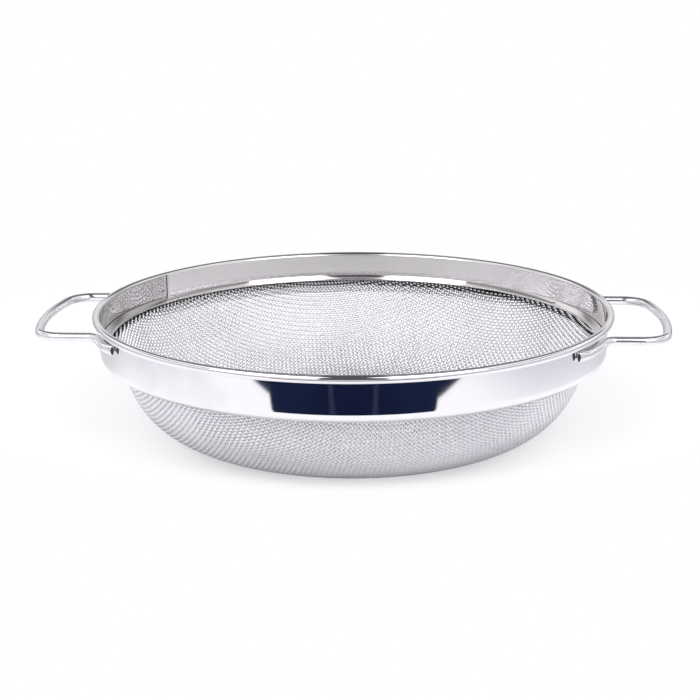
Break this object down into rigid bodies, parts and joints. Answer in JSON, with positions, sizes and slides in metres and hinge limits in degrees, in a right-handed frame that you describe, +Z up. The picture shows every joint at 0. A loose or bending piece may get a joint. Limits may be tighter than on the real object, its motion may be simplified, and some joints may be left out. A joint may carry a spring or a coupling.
{
  "type": "colander",
  "caption": "Shallow round mesh colander: a woven steel wire bowl held in a polished hoop with a rolled rim, with fixed D-shaped wire handles on both sides.",
  "frame": {"origin": "on the table, under the middle of the bowl's floor", "axes": "+Z up along the axis of the bowl, +X towards the right handle"},
  "size_m": [0.3398, 0.28, 0.0686],
  "materials": {
    "polished_hoop": "polished stainless sheet",
    "handle_wire": "polished stainless wire",
    "mesh_wire": "bright drawn stainless wire"
  },
  "bodies": {
    "root": {"rim_band": "polished_hoop", "rim_wire": "handle_wire", "mesh_retaining_ring": "polished_hoop", "mesh_bowl": "mesh_wire", "right_handle": "handle_wire", "left_handle": "handle_wire"}
  },
  "joints": []
}
